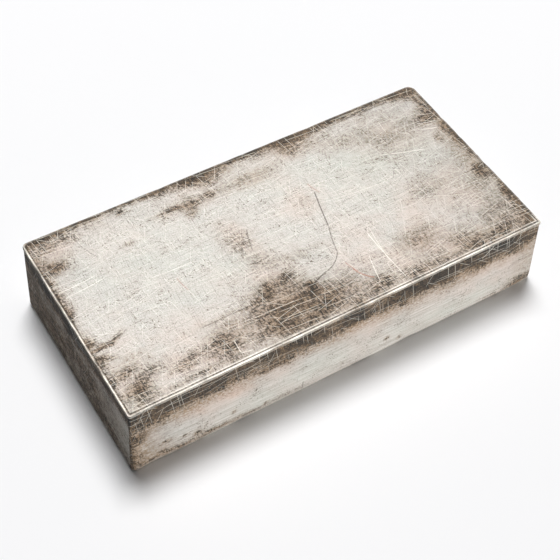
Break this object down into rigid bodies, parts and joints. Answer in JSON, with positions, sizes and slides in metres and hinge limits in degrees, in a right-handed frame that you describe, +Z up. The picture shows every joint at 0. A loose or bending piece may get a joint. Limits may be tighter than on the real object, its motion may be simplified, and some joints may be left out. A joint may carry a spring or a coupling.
{
  "type": "silver bar",
  "caption": "Flat rectangular bar of pressed fine silver, tarnished and scuffed, with a plain upper face and slightly drafted sides.",
  "frame": {"origin": "centre of the bar's underside, on the plane that it rests on", "axes": "+X along the bar's length, +Y across its width towards the back, +Z up through the plain upper face"},
  "size_m": [0.1468, 0.074, 0.0279],
  "materials": {
    "tarnished_silver": null
  },
  "bodies": {
    "root": {"silver_bar": "tarnished_silver"}
  },
  "joints": []
}
